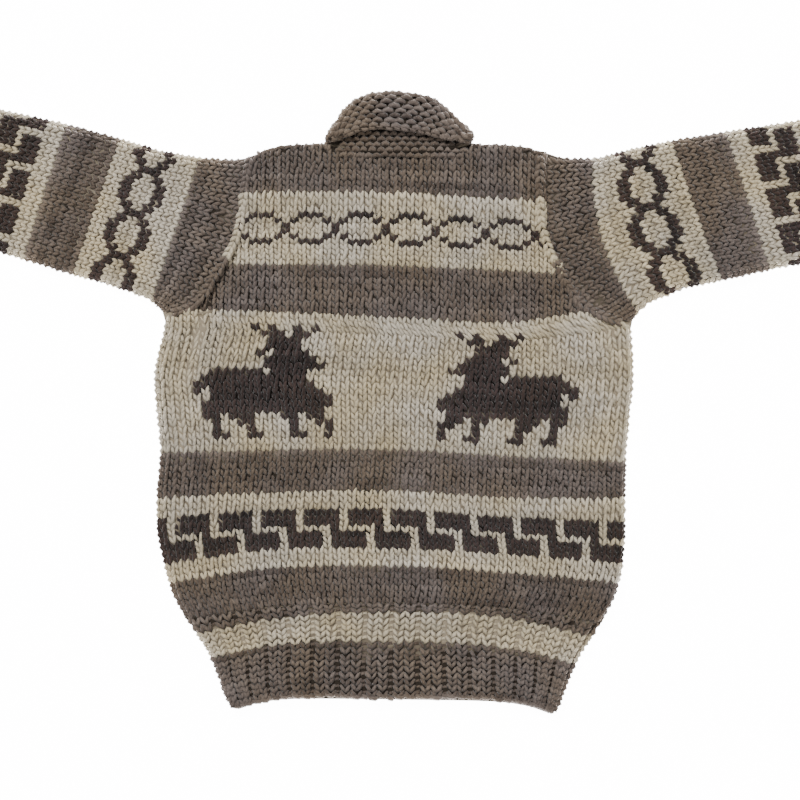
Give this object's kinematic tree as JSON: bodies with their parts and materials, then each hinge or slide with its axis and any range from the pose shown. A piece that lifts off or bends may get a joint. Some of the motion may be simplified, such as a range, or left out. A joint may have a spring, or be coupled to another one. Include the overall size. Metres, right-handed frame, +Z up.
{
  "type": "cowichan sweater",
  "caption": "Bulky hand-knitted wool sweater with a turned-down shawl collar, ribbed hem and cuffs, laid flat on its front with the sleeves spread.",
  "frame": {"origin": "middle of the whole garment's outline, on the surface it lies on", "axes": "+X along the spread sleeves towards the right sleeve, +Y from the hem towards the collar, +Z up out of the back"},
  "size_m": [1.395, 0.661, 0.0298],
  "materials": {
    "body_wool": "bulky stocking stitch in undyed wool: grey-brown, cream and dark brown bands",
    "sleeve_wool": "bulky stocking stitch in undyed wool, banded like the body",
    "rib_wool": "two-and-one ribbing in undyed grey-brown wool with a cream stripe",
    "collar_wool": "garter stitch in undyed grey-brown wool"
  },
  "bodies": {
    "root": {"back": "body_wool", "front": "body_wool", "hem_rib_back": "rib_wool", "hem_rib_front": "rib_wool", "sleeve_left": "sleeve_wool", "sleeve_right": "sleeve_wool", "cuff_left": "rib_wool", "cuff_right": "rib_wool", "collar_back": "collar_wool", "collar_left": "collar_wool", "collar_right": "collar_wool"}
  },
  "joints": []
}
